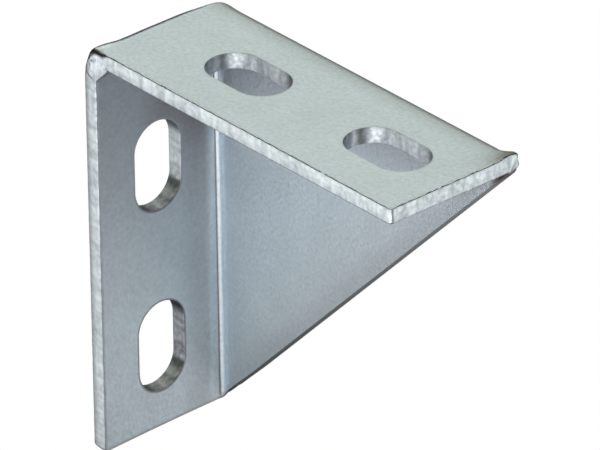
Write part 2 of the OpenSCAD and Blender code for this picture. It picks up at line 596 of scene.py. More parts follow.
def cut_section(s, cut, margin):
    """Section of a cut edge from one face to the other: depth, setback, how much it wanders with the
    rollover, the height of its tears, how torn it is, where it is cut metal and where polished. A quarter of
    an ellipse rolls over, a shoulder leans back after it, and a small arc breaks the other edge."""
    quarter = np.radians(np.linspace(0, 90, ARC_STEPS))
    straight = np.linspace(0, 1, BODY_STEPS + 2)[1:-1]
    deep = s.sheet - cut.edge_break
    body = cut.roll_depth + (deep - cut.roll_depth) * straight
    rolled = cut.roll_depth * (1 - np.cos(quarter))
    broken = deep + cut.edge_break * np.sin(quarter)
    depth = np.concatenate([[0, 0], rolled, body, broken, [s.sheet]])
    level = 0 * body
    falling = 1 - np.sin(quarter)
    setback = np.concatenate(
        [[0, 0], cut.roll_width * falling, level, cut.edge_break * (1 - np.cos(quarter)), [0]]
    )
    setback = setback + cut.dome * np.clip(1 - depth / (SHOULDER_REACH * s.sheet), 0, 1) ** 2
    setback[[0, -1]] = margin
    setback[1] = setback[2] + MARGIN_SHARE * (margin - setback[2])
    roll = np.concatenate([[0, 1], falling, level, 0 * quarter, [0]])
    tears = smooth((depth - cut.roll_depth) / TEAR_RISE) * smooth((deep - depth) / TEAR_FALL)
    bare = (depth >= rolled[-1]) * 1.0
    bare[-1] = 0
    rubbed = 0 * depth
    rubbed[STEEP_ROWS] = 1
    torn = np.maximum(cut.torn, BREAK_SHADE * smooth((depth - deep) / (BREAK_RUN * cut.edge_break))) * bare
    # Painted shade on the face beside a cut that is more than half dark
    torn = torn + max(0, 2 * cut.torn - 1) * (1 - bare) * (setback < margin)
    return np.stack([depth, setback, cut.ragged * roll, cut.tear * tears, torn, bare, rubbed])[:, None]


def turned_over(s, section):
    """The same section, cut from the other face and not polished."""
    section = section[..., ::-1].copy()
    section[DEPTH] = s.sheet - section[DEPTH]
    section[RUBBED] = 0
    return section


# Pitch of the rollover's wander and its most, and pitch and slant of the torn streaks
WANDER_PITCH = 1.5 * MM
WANDER_MOST = 1.6
STREAK_PITCH = 1.6 * MM
STREAK_SLANT = 0.5


def cut_patch(s, section, outer, inner, margin, closed=False, welded=0):
    """Cut edge between the boundaries of the two skins: its section carried along their path. The rollover
    wanders with slow waves, and the middle stands up in slanting streaks. Cut metal takes the edge's finish,
    the rolled and flat parts the face's, and the first steps the weld's if they are welded."""
    depth, setback, roll, tears, torn, bare, rubbed = np.broadcast_arrays(*section, outer[0][:, :1])[:-1]
    through = (depth / s.sheet)[..., None]
    points = outer[0][:, None] + (inner[0] - outer[0])[:, None] * through
    out = outer[1][:, None] + (inner[1] - outer[1])[:, None] * through
    wander = np.clip(waves(outer[0], WANDER_PITCH, WANDER_SEED), -WANDER_MOST, WANDER_MOST)[:, None]
    slanted = outer[0][:, None] + place(STREAK_SLANT, 0, 0) * depth[..., None]
    streaks = waves(slanted, STREAK_PITCH, STREAK_SEED)
    points = points + out * (margin - setback * (1 + roll * wander) + tears * streaks)[..., None]
    step = np.linalg.norm(np.diff(outer[0] + outer[1] * margin, axis=0), axis=1)
    run = np.concatenate([[0], np.cumsum(step)])[:, None]
    finish = ((bare[:, 1:] + bare[:, :-1]) / 2 > 0.5) * EDGE_FINISH
    finish[:welded] = WELD_FINISH
    finish = finish if closed else finish[:-1]
    chart = place(run / MM, depth / MM)
    turned = [part.swapaxes(0, 1) for part in (points, chart, rubbed, torn, finish)]
    return patch(turned[0], turned[4].ravel(), closed, *turned[1:4])


# Rays and rings of the weld drop, and its skirt: shares of the rays and depths below the free edges
WELD_RAYS = 96
WELD_RINGS = 25
SKIRT_SHARES = np.array([1, 1, 0.9, 0.6, 0])
SKIRT_DEPTHS = np.array([1, 2.4, 3.6, 4.2, 4.2]) * MM
# How far the drop stays inside the heel, its reach towards the inner corner, the flattest ray that this
# limits, and the length that rounds where these limits meet
HEEL_INSET = 1.2 * MM
CORNER_REACH = 4.2 * MM
FLATTEST = 0.2
LIMIT_ROUND = 0.25 * MM
# How far its rim lies below the free edges, its lean along both flanges, and the share of a ray where the
# rim starts
RIM_SINK = 0.03 * MM
WELD_LEAN = np.array([-0.05, 0.085])
RIM_START = 0.75
# Pitch of the ripples, and how much they are drawn out in each direction
RIPPLE_PITCH = 1.3 * MM
RIPPLE_DRAWN = np.array([0.6, 1, 1.5])
# Painted shade on the drop towards the inner corner, over what length, and at its rim
CORNER_WELD_SHADE = 0.4
WELD_SHADE_RUN = 2.1 * MM
RIM_WELD_SHADE = 0.3


def weld_surface(s):
    """Weld drop on the free edges at the heel, with its map and how dark it burnt: rays from its middle as
    long as the smooth least of the heel's outline, the drop's own reach and a line across the inner corner,
    raised as a leaning dome with ripples and carried into the corner as a skirt."""
    turn = np.linspace(0, 2 * np.pi, WELD_RAYS + 1)[:-1]
    heading = place(np.cos(turn), np.sin(turn))
    offset = s.weld_middle - s.fold
    along = offset * heading.sum(1)
    to_heel = -along + np.sqrt(along**2 - 2 * offset**2 + s.fold**2)
    to_corner = CORNER_REACH / np.maximum(heading.sum(1), FLATTEST)
    limit = np.stack([to_heel - HEEL_INSET, s.weld_reach + 0 * turn, to_corner])
    reach = -LIMIT_ROUND * np.log(np.exp(-limit / LIMIT_ROUND).sum(0))
    share = np.concatenate([np.sin(np.radians(np.linspace(0, 90, WELD_RINGS))), SKIRT_SHARES])
    on_top = np.arange(len(share)) < WELD_RINGS
    rise = s.weld_height * (1 - share**2) ** 2 - RIM_SINK
    rise[WELD_RINGS:] = -SKIRT_DEPTHS
    flat = s.weld_middle + heading * (reach * share[:, None])[..., None]
    lean = (flat - s.weld_middle) @ WELD_LEAN * ((1 - share**2) * on_top)[:, None]
    points = place(flat[..., 0], -rise[:, None] - lean, flat[..., 1])
    rippled = s.weld_ripple * (eased(share, 1, RIM_START) * on_top)[:, None]
    lift = rippled * waves(points * RIPPLE_DRAWN, RIPPLE_PITCH, RIPPLE_SEED)
    inward = flat.mean(-1) - s.weld_middle
    by_corner = CORNER_WELD_SHADE * smooth(inward / WELD_SHADE_RUN)
    weld_shade = np.maximum(by_corner, RIM_WELD_SHADE * eased(share, RIM_START, 1)[:, None])
    chart = place(turn * s.weld_reach / MM, share[:, None] * s.weld_reach / MM)
    return points - place(0, 1, 0) * lift[..., None], chart, weld_shade


# Meshes

# Places of the finishes among a piece's materials
FACE_FINISH, EDGE_FINISH, WELD_FINISH = range(3)
# Points closer than this are joined, and edges sharper than this stay sharp
JOIN = 0.002 * MM
SHARP = math.radians(60)
# Places down the wall flange where it starts to be out of square and is fully so
SKEW_DOWN = (40 * MM, 100 * MM)


def grid_faces(shape, closed=False):
    """Quads between neighbours of a grid, joined round where it is closed."""
    number = np.arange(shape[0] * shape[1]).reshape(shape)
    if closed:
        number = np.concatenate([number, number[:, :1]], axis=1)
    quads = [number[:-1, :-1], number[1:, :-1], number[1:, 1:], number[:-1, 1:]]
    return np.stack(quads, axis=-1).reshape(-1, 4)


def to_row_frame(s, points):
    """Turns lengths out, across and down into the row frame. The wall's free end is out of square: it is
    longer by the skew, times a smooth rise down the wall and the squared share towards the free edge."""
    longer = s.wall_skew * eased(points[:, 2], *SKEW_DOWN) * (1 - points[:, 1] / s.width) ** 2
    points = points + place(0, 0, longer)
    return points * np.array([1, 1, -1]) + np.array([0, CAD_HIGH.y - s.width, CAD_HIGH.z])


def make_piece(s, name, patches, materials):
    """Joins patches of points, faces, map, finish and working into one closed mesh object at the origin, on
    the bracket's body and in its material slot."""
    blocks, faces, charts, finishes, point_attributes = zip(*patches)
    start = np.cumsum([0] + [len(block) for block in blocks])
    rows = [row for first, group in zip(start, faces) for part in group for row in (part + first).tolist()]
    finish = np.concatenate(finishes)
    chart = np.concatenate(charts)
    mesh = bpy.data.meshes.new(name)
    mesh.from_pydata(to_row_frame(s, np.concatenate(blocks)).tolist(), [], rows)
    for name_of, values in zip(("rubbed", "torn"), np.concatenate(point_attributes).T):
        attribute = mesh.attributes.new(name_of, "FLOAT", "POINT")
        attribute.data.foreach_set("value", np.ascontiguousarray(values, np.float32))
    corners = np.empty(len(mesh.loops), np.int32)
    mesh.loops.foreach_get("vertex_index", corners)
    mesh.uv_layers.new(name="cut").data.foreach_set("uv", chart[corners].astype(np.float32).ravel())
    mesh.polygons.foreach_set("material_index", finish.astype(np.int32))
    for material in materials:
        mesh.materials.append(material)
    work = bmesh.new()
    work.from_mesh(mesh)
    bmesh.ops.remove_doubles(work, verts=work.verts, dist=JOIN)
    bmesh.ops.recalc_face_normals(work, faces=work.faces)
    if any(not edge.is_manifold for edge in work.edges):
        raise RuntimeError(f"{name} is not closed")
    work.to_mesh(mesh)
    work.free()
    mesh.polygons.foreach_set("use_smooth", np.ones(len(mesh.polygons), bool))
    mesh.set_sharp_from_angle(angle=SHARP)
    piece = bpy.data.objects.new(name, mesh)
    bpy.context.scene.collection.objects.link(piece)
    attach(piece, BODY)
    return piece


def patch(points, finish=FACE_FINISH, closed=False, chart=None, rubbed=0.0, torn=0.0):
    """A grid of points as vertices, faces, map, finish, and how much each point is rubbed or torn."""
    chart = points[..., :2] / MM if chart is None else chart
    point_attribute = place(np.broadcast_to(rubbed, points.shape[:2]), torn)
    faces = grid_faces(points.shape[:2], closed)
    finish = np.broadcast_to(finish, len(faces))
    return points.reshape(-1, 3), [faces], chart.reshape(-1, 2), finish, point_attribute.reshape(-1, 2)


# Painted dark reflection on the heel's rollover, painted shade on the free edges' rollover, painted shade on
# the top flange's edge that grows from one depth over another, and painted shade on its broken edge
HEEL_DARK_REFLECTION = 0.85
ROLL_SHADE = 0.15
EDGE_SHADE = 0.28
EDGE_START = 0.5 * MM
EDGE_RUN = 3.2 * MM
FREE_BREAK_SHADE = 0.75


def cut_sections(s, cuts):
    """Sections of all the cuts by name, those of the web cut from its inner face, with what the cuts' own
    values don't give: dark and dull rows, and the lower end of the slant drawn in."""
    margins = {name: s.rim if "slot" in name else s.corner for name in cuts}
    sections = {name: cut_section(s, cut, margins[name]) for name, cut in cuts.items()}
    for name in ("slant_cut", "notch_cut"):
        sections[name] = turned_over(s, sections[name])
    sections["slant_end"] = sections["slant_cut"].copy()
    sections["slant_end"][SETBACK, :, 1:-1] += s.slant_pull
    sections["heel_cut"][TORN_AND_SHADE, :, STEEP_ROWS] = HEEL_DARK_REFLECTION
    for name in ("free_cut", "wall_cut"):
        sections[name][TORN_AND_SHADE, :, ROLLED_ROWS] = ROLL_SHADE
    free = sections["free_cut"]
    free[TORN_AND_SHADE] += EDGE_SHADE * np.clip((free[DEPTH] - EDGE_START) / EDGE_RUN, 0, 1) * free[BARE]
    free[TORN_AND_SHADE, :, BROKEN_ROWS] = FREE_BREAK_SHADE
    return sections


# Polish of a bent skin, the turn in degrees by which it is full outside, and the polish by the wall's fold
BENT_RUBBED = 0.5
RUBBED_TURN = 25
PRESS_RUBBED = 0.9
# Painted shade along the crease inside a fold: its share, its turn in degrees and its width
CREASE_SHADE = 0.75
CREASE_SHADE_TURN = 24
CREASE_SHADE_WIDTH = 10
# Share of painted shade under the top flange where the top fold meets the web, and the power that keeps the
# ground heel polished nearly to its edge
UNDER_SHADE = 0.4
GROUND_POWER = 6


def bend_patches(s, side):
    """Skins of one flange's fold and of its half of the heel, rubbed where they were bent, pressed or ground,
    and thin where they were stretched, pinched or sheltered."""
    patches = []
    for depth in (0, s.sheet):
        angle = fold_section(s, depth)[0][:, None]
        turn = np.degrees(angle)
        skin = fold_patch(s, depth, side)
        heel = heel_patch(s, depth, side)[..., ::side]
        if depth == 0:
            bent = BENT_RUBBED * smooth(turn / RUBBED_TURN)
            darkening = fold_shade(s, s.width - s.fold * (1 - angle), skin[:, -1:, 0] - skin[..., 0])
        else:
            bent = BENT_RUBBED * np.sin(2 * angle) ** 0.5
            darkening = UNDER_SHADE * turn / 90
            if side < 0:
                bent = np.maximum(bent, PRESS_RUBBED * smooth(turn / 90))
                darkening = shaded(skin[..., ::side]) * (1 - turn / 90)
            darkening = np.maximum(darkening, CREASE_SHADE * bell(turn - CREASE_SHADE_TURN, CREASE_SHADE_WIDTH))
        ground = (1 - np.linspace(0, 1, HEEL_COLUMNS + 1) ** GROUND_POWER) * (depth == 0)
        patches.append(patch(heel, rubbed=ground, torn=shaded(heel) * (depth > 0 and side < 0)))
        patches.append(patch(skin[..., ::side], rubbed=bent, torn=darkening))
    return patches


# Share of its darkening that the upper wall slot keeps at its sides, and the slope of the rim where it keeps
# all
LEAST_DARKENING = 0.6
FULL_DARKENING_SLOPE = -0.625


def slot_patches(s, side, first, slot_cut):
    """Skins round one slot, and its cut."""
    patches = []
    rims = []
    for depth in (0, s.sheet):
        flat, out = slot_cell(s, first, depth)
        # Painted shade: over the outer face towards the fold, and inside the wall flange
        if depth == 0:
            darkening = fold_shade(s, flat[..., 1], s.reach - s.corner - flat[..., 0])
        else:
            darkening = shaded(flat[..., ::side]) * (side < 0)
        patches.append(patch(flat[..., ::side], closed=True, torn=darkening))
        rims.append((flat[0][:, ::side], out[:, ::side]))
    section = np.repeat(slot_cut, len(rims[0][0]), axis=1)
    if first and side < 0:
        section[TORN_AND_SHADE] *= LEAST_DARKENING + (1 - LEAST_DARKENING) * eased(rims[0][1][:, 2:], 0, FULL_DARKENING_SLOPE)
    # The rim's inner margin takes the wall's painted shade
    section[TORN_AND_SHADE, :, -1] = shaded(rims[1][0]) * (side < 0)
    return [*patches, cut_patch(s, section, *rims, s.rim, closed=True)]


# Steps along a free edge over which it changes from the heel's cut, and to the one at the fold
HEEL_STEPS = 4
FOLD_STEPS = 8


def edge_patch(s, side, sections):
    """Cut along a flange's free edge and end: the heel's section, then its own, then the one at the fold."""
    edges = [tuple(part[:, ::side] for part in free_edge(s, depth, side)) for depth in (0, s.sheet)]
    number = np.arange(len(edges[0][0]))
    at_heel = eased(number, HEEL_COLUMNS + HEEL_STEPS, HEEL_COLUMNS)[:, None]
    at_fold = eased(number, number[-1] - FOLD_STEPS, number[-1])[:, None]
    free = sections["free_cut" if side > 0 else "wall_cut"]
    tail = sections["notch_cut" if side > 0 else "slant_end"]
    section = free + (sections["heel_cut"] - free) * at_heel + (tail - free) * at_fold
    # The fold's painted shade, carried onto the cut's outer rows near the free end
    round_fold = s.width - s.fold + s.fold * fold_section(s, 0)[0][1:]
    across_end = np.concatenate([flange_rows(s)[1:], round_fold])
    before_end = np.zeros(len(number) - len(across_end))
    edge_fold_shade = np.concatenate([before_end, fold_shade(s, across_end, 0)])[:, None]
    section[TORN_AND_SHADE, :, OUTER_ROWS] = np.maximum(section[TORN_AND_SHADE, :, OUTER_ROWS], edge_fold_shade)
    # The wall's painted shade, carried onto the cut's inner margin
    if side < 0:
        section[TORN_AND_SHADE, :, -1] = shaded(edges[1][0])
    return cut_patch(s, section, *edges, s.corner, welded=HEEL_COLUMNS)


# On the outside of the web, the widths over which the folds' polish and painted shade fade
RUBBED_FADE = 8 * MM
FOLD_SHADE_FADE = 10 * MM
# On its inside, painted shade under the top flange: its share, what is added further out, and where it is
# full
WEB_UNDER_SHADE = 0.34
OUTER_UNDER_SHADE = 0.14
OUTER_FROM = (30 * MM, 55 * MM)
UNDER_FADE = 26 * MM
# And towards the slant, by the sum of the lengths out and down: two shares, a darkening and painted shade
# where the inner face rolls over at the edge, and where each starts and is full
SLANT_DARK = 0.13
SLANT_FROM = (70 * MM, 102 * MM)
SLANT_EDGE_SHADE = 0.1
SLANT_EDGE_FROM = (95 * MM, 102 * MM)
# And the width of the strip next to the wall's fold that the punch rubbed
PRESS_FADE = 4 * MM


def web_skin(s, depth):
    """Skin of the web, rubbed and thin next to the folds, and on its inside thin under the top flange and
    towards the slant."""
    points, quads, triangles = web_lattice(s, depth)
    out, down = points[:, 0], points[:, 2]
    if depth == 0:
        from_fold = np.minimum(out, down) - s.fold
        rubbed = BENT_RUBBED * eased(from_fold, RUBBED_FADE, 0)
        darkening = BENT_SHADE * eased(from_fold, FOLD_SHADE_FADE, 0)
    else:
        rubbed = PRESS_RUBBED * eased(out, s.fold + PRESS_FADE, s.fold)
        under = (WEB_UNDER_SHADE + OUTER_UNDER_SHADE * eased(out, *OUTER_FROM)) * eased(down, s.sheet + UNDER_FADE, s.sheet)
        by_slant = SLANT_DARK * eased(out + down, *SLANT_FROM)
        darkening = np.maximum(under, by_slant + SLANT_EDGE_SHADE * eased(out + down, *SLANT_EDGE_FROM))
    finish = np.full(len(quads) + len(triangles), FACE_FINISH)
    return points, [quads, triangles], points[:, ::2] / MM, finish, place(rubbed, darkening)


# Steps along the slant over which it changes from the notch at its upper end, and to its drawn-in lower end
NOTCH_STEPS = 9
PULL_STEPS = 14
# Share of its darkening that it loses towards the lower end, and the least painted shade on its inner side,
# where the web rolls over
DARK_LOSS = 0.9
INNER_EDGE_SHADE = 0.23


def slant_patch(s, sections):
    """Cut along the slanted edge of the web, less torn towards its lower end."""
    number = np.arange(COLUMNS + 1)
    at_notch = eased(number, NOTCH_STEPS, 0)[:, None]
    at_wall = eased(number, COLUMNS - PULL_STEPS, COLUMNS)[:, None]
    slant = sections["slant_cut"]
    section = slant + (sections["notch_cut"] - slant) * at_notch + (sections["slant_end"] - slant) * at_wall
    section[TORN_AND_SHADE] *= 1 - DARK_LOSS * smooth(number / COLUMNS)[:, None]
    section[TORN_AND_SHADE, :, INNER_ROWS] = np.maximum(section[TORN_AND_SHADE, :, INNER_ROWS], INNER_EDGE_SHADE)
    edges = [web_slant(s, depth) for depth in (0, s.sheet)]
    return cut_patch(s, section, *edges, s.corner)


def sheet_patches(s, cuts):
    """All patches of the folded sheet. The wall half is the top half with out and down exchanged."""
    sections = cut_sections(s, cuts)
    patches = []
    for side, slot in ((1, "top_slot_cut"), (-1, "wall_slot_cut")):
        patches += bend_patches(s, side)
        for first in (True, False):
            patches += slot_patches(s, side, first, sections[slot])
        patches.append(edge_patch(s, side, sections))
    patches += [web_skin(s, depth) for depth in (0, s.sheet)]
    return [*patches, slant_patch(s, sections)]


# Materials

# Sizes of the patterns in millimetres. The plating's grain is too fine to show and is drawn this coarse, and
# so are the pits of the sheared edges and the ripples of the weld.
GRAIN = 0.9
CLOUDS = 9
STREAKS = 2.2
PITS = 1.2
RIPPLES = 0.9
# Directions of the streaks and the ripples, and how much they are drawn out along them
STREAK_TURN = math.radians(20)
STREAK_DRAWN = (1, 0.25, 1)
RIPPLE_TURN = math.radians(35)
RIPPLE_STRETCH = (1, 1, 0.35)
# Share of the grain's relief that rubbing takes away, and how far gloss varies to either side
RUBBED_FLAT = 0.85
FACE_GLOSS = 0.05
EDGE_GLOSS = 0.06


def add_node(tree, kind, inputs=None, **settings):
    """Adds a node, sets its properties, and gives its sockets a constant or a link from another's socket."""
    node = tree.nodes.new("ShaderNode" + kind)
    for name, value in settings.items():
        setattr(node, name, value)
    for name, value in (inputs or {}).items():
        if isinstance(value, bpy.types.NodeSocket):
            tree.links.new(value, node.inputs[name])
        else:
            node.inputs[name].default_value = value
    return node


def new_material(name):
    """An empty node material, its tree and its output."""
    material = bpy.data.materials.new(name)
    material.use_nodes = True
    material.node_tree.nodes.clear()
    return material, material.node_tree, add_node(material.node_tree, "OutputMaterial")


def rolled_zinc(finish):
    """Electro-plated zinc on a cold-rolled face: satin, with a fine mottle and slow clouds from the bath,
    smoother where a tool rubbed it, and dark where it is thin."""
    material, tree, output = new_material("zinc_plated_rolled_face")
    where = add_node(tree, "TexCoord").outputs["Object"]
    grain = add_node(
        tree, "TexNoise", {"Vector": where, "Scale": per(GRAIN), "Detail": 2, "Roughness": 0.5}
    )
    clouds = add_node(
        tree, "TexNoise", {"Vector": where, "Scale": per(CLOUDS), "Detail": 3, "Roughness": 0.5}
    )
    mottle = add_node(tree, "Mix", {"Factor": 0.3, 2: grain.outputs["Fac"], 3: clouds.outputs["Fac"]})
    share = add_node(tree, "MapRange", {"Value": mottle.outputs[0], "From Min": 0.25, "From Max": 0.75})
    tint = add_node(
        tree,
        "Mix",
        {"Factor": share.outputs["Result"], 6: (*finish.face_dull, 1), 7: (*finish.face, 1)},
        data_type="RGBA",
    )
    gloss = add_node(
        tree,
        "MapRange",
        {
            "Value": mottle.outputs[0],
            "From Min": 0.25,
            "From Max": 0.75,
            "To Min": finish.face_roughness + FACE_GLOSS,
            "To Max": finish.face_roughness - FACE_GLOSS,
        },
    )
    point_attribute = add_node(tree, "Attribute", attribute_name="rubbed")
    rubbed = add_node(
        tree,
        "Mix",
        {"Factor": point_attribute.outputs["Fac"], 2: gloss.outputs["Result"], 3: finish.fold_roughness},
    )
    # Painted shade: the darkening attribute mixes in the face's shade colour
    shade_attribute = add_node(tree, "Attribute", attribute_name="torn")
    darkening = add_node(
        tree,
        "Mix",
        {"Factor": shade_attribute.outputs["Fac"], 6: tint.outputs[2], 7: (*finish.face_shade, 1)},
        data_type="RGBA",
    )
    strength = add_node(
        tree, "Math", {0: point_attribute.outputs["Fac"], 1: -RUBBED_FLAT, 2: 1.0}, operation="MULTIPLY_ADD"
    )
    relief = add_node(
        tree,
        "Bump",
        {"Height": grain.outputs["Fac"], "Strength": strength.outputs[0], "Distance": 0.2 * MM},
    )
    shader = add_node(
        tree,
        "BsdfPrincipled",
        {
            "Base Color": darkening.outputs[2],
            "Metallic": 1.0,
            "Roughness": rubbed.outputs[0],
            "Normal": relief.outputs["Normal"],
        },
    )
    tree.links.new(shader.outputs["BSDF"], output.inputs["Surface"])
    return material


def sheared_zinc(finish):
    """Electro-plated zinc over a sheared edge: brighter than the rolled face, with streaks from the tear that
    run through the thickness at a slant, dull hollows between them, and dark where the steel tore."""
    material, tree, output = new_material("zinc_plated_sheared_edge")
    # The cut's own map is in millimetres along it and through it
    where = add_node(tree, "UVMap", uv_map="cut").outputs["UV"]
    slanted = add_node(
        tree, "Mapping", {"Vector": where, "Rotation": (0, 0, STREAK_TURN), "Scale": STREAK_DRAWN}
    )
    streaks = add_node(
        tree,
        "TexNoise",
        {"Vector": slanted.outputs["Vector"], "Scale": 1 / STREAKS, "Detail": 2, "Roughness": 0.5},
    )
    pits = add_node(tree, "TexNoise", {"Vector": where, "Scale": 1 / PITS, "Detail": 2, "Roughness": 0.5})
    rough = add_node(tree, "Math", {0: streaks.outputs["Fac"], 1: pits.outputs["Fac"]}, operation="ADD")
    share = add_node(tree, "MapRange", {"Value": rough.outputs[0], "From Min": 0.6, "From Max": 1.3})
    tint = add_node(
        tree,
        "Mix",
        {"Factor": share.outputs["Result"], 6: (*finish.edge_dull, 1), 7: (*finish.edge, 1)},
        data_type="RGBA",
    )
    # Steel that tore and painted shade both darken the cut
    point_attribute = add_node(tree, "Attribute", attribute_name="torn")
    patchy = add_node(
        tree,
        "MapRange",
        {"Value": rough.outputs[0], "From Min": 0.75, "From Max": 1.25, "To Min": 1.15, "To Max": 0.85},
    )
    dark_share = add_node(
        tree, "Math", {0: point_attribute.outputs["Fac"], 1: patchy.outputs["Result"]}, operation="MULTIPLY"
    )
    darkening = add_node(
        tree,
        "Mix",
        {"Factor": dark_share.outputs[0], 6: tint.outputs[2], 7: (*finish.torn, 1)},
        data_type="RGBA",
    )
    gloss = add_node(
        tree,
        "MapRange",
        {
            "Value": rough.outputs[0],
            "From Min": 0.75,
            "From Max": 1.2,
            "To Min": finish.edge_roughness + EDGE_GLOSS,
            "To Max": finish.edge_roughness - EDGE_GLOSS,
        },
    )
    relief = add_node(tree, "Bump", {"Height": rough.outputs[0], "Strength": 0.45, "Distance": 0.02 * MM})
    shader = add_node(
        tree,
        "BsdfPrincipled",
        {
            "Base Color": darkening.outputs[2],
            "Metallic": 1.0,
            "Roughness": gloss.outputs["Result"],
            "Normal": relief.outputs["Normal"],
        },
    )
    tree.links.new(shader.outputs["BSDF"], output.inputs["Surface"])
    return material


def weld_zinc(finish):
    """Electro-plated zinc over weld metal: glossier than the sheet, with bright ripples and dull hollows, and
    dark where it burnt."""
    material, tree, output = new_material("zinc_plated_weld")
    where = add_node(tree, "TexCoord").outputs["Object"]
    drawn = add_node(
        tree, "Mapping", {"Vector": where, "Rotation": (0, RIPPLE_TURN, 0), "Scale": RIPPLE_STRETCH}
    )
    ripples = add_node(
        tree,
        "TexNoise",
        {"Vector": drawn.outputs["Vector"], "Scale": per(RIPPLES), "Detail": 3, "Roughness": 0.6},
    )
    share = add_node(
        tree, "MapRange", {"Value": ripples.outputs["Fac"], "From Min": 0.36, "From Max": 0.6}
    )
    tint = add_node(
        tree,
        "Mix",
        {"Factor": share.outputs["Result"], 6: (*finish.weld_dull, 1), 7: (*finish.weld, 1)},
        data_type="RGBA",
    )
    point_attribute = add_node(tree, "Attribute", attribute_name="torn")
    weld_shade = add_node(
        tree,
        "Mix",
        {"Factor": point_attribute.outputs["Fac"], 6: tint.outputs[2], 7: (*finish.torn, 1)},
        data_type="RGBA",
    )
    relief = add_node(
        tree, "Bump", {"Height": ripples.outputs["Fac"], "Strength": 0.5, "Distance": 0.04 * MM}
    )
    shader = add_node(
        tree,
        "BsdfPrincipled",
        {
            "Base Color": weld_shade.outputs[2],
            "Metallic": 1.0,
            "Roughness": finish.weld_roughness,
            "Normal": relief.outputs["Normal"],
        },
    )
    tree.links.new(shader.outputs["BSDF"], output.inputs["Surface"])
    return material


# Studio


def glow_shader(tree, seen, given):
    """Light that the camera sees as one shader and everything else receives as another."""
    path = add_node(tree, "LightPath")
    mix = add_node(tree, "MixShader", {0: path.outputs["Is Camera Ray"]})
    tree.links.new(given, mix.inputs[1])
    tree.links.new(seen, mix.inputs[2])
    return mix.outputs["Shader"]


# Light from the floor by direction, as shares of a turn from -X through -Y, +X and +Y
FLOOR_STOPS = (
    *((0.0, 0.2), (0.06, 0.3), (0.09, 0.7), (0.12, 0.92), (0.18, 1.0), (0.26, 1.0), (0.34, 0.85)),
    *((0.42, 0.65), (0.47, 0.3), (0.545, 0.12), (0.575, 1.0), (0.65, 0.88), (0.7, 0.55), (0.778, 0.14)),
    *((0.886, 0.08), (0.95, 0.1)),
)
# Light from the floor by distance from its middle, as shares of its radius
REACH_STOPS = (
    *((0.0, 0.08), (0.08, 0.12), (0.19, 1.06), (0.25, 1.12), (0.33, 1.22), (0.5, 1.22), (0.65, 1.25)),
    *((0.8, 1.25), (1.0, 0.2)),
)
# Light of the ring on the floor by direction
RING_STOPS = (
    *((0.0, 0.0), (0.2, 0.0), (0.3, 0.15), (0.36, 0.6), (0.4, 1.0), (0.43, 1.0), (0.46, 0.3), (0.5, 0.0)),
    (1.0, 0.0),
)
# Light of the room by height, from the horizon to overhead, all round and to the left of the heel
ROOM_STOPS = ((0.0, 0.06), (0.16, 0.1), (0.42, 1.0), (0.54, 1.05), (0.68, 0.65), (1.0, 0.65))
LEFT_STOPS = (
    *((0.0, 0.04), (0.18, 0.05), (0.27, 1.3), (0.38, 1.3), (0.46, 1.0), (0.54, 1.05), (0.68, 0.65)),
    (1.0, 0.65),
)
# How much of the left light there is by direction, as shares of a turn from -X through -Y, +X and +Y
SIDE_STOPS = ((0.0, 0.0), (0.888, 0.0), (0.9, 1.0), (0.945, 1.0), (0.96, 0.0), (1.0, 0.0))
# Tints of the floor's light and of the room's
WHITE = (1, 1, 1)
ROOM_TINT = (0.968, 1, 0.838)


def set_stops(ramp, stops, tint):
    """Gives a colour ramp its stops, each a place and a light of that tint."""
    elements = ramp.color_ramp.elements
    while len(elements) < len(stops):
        elements.new(0.5)
    for element, (at, light) in zip(elements, stops):
        element.position = at
        element.color = (*(light * part for part in tint), 1)


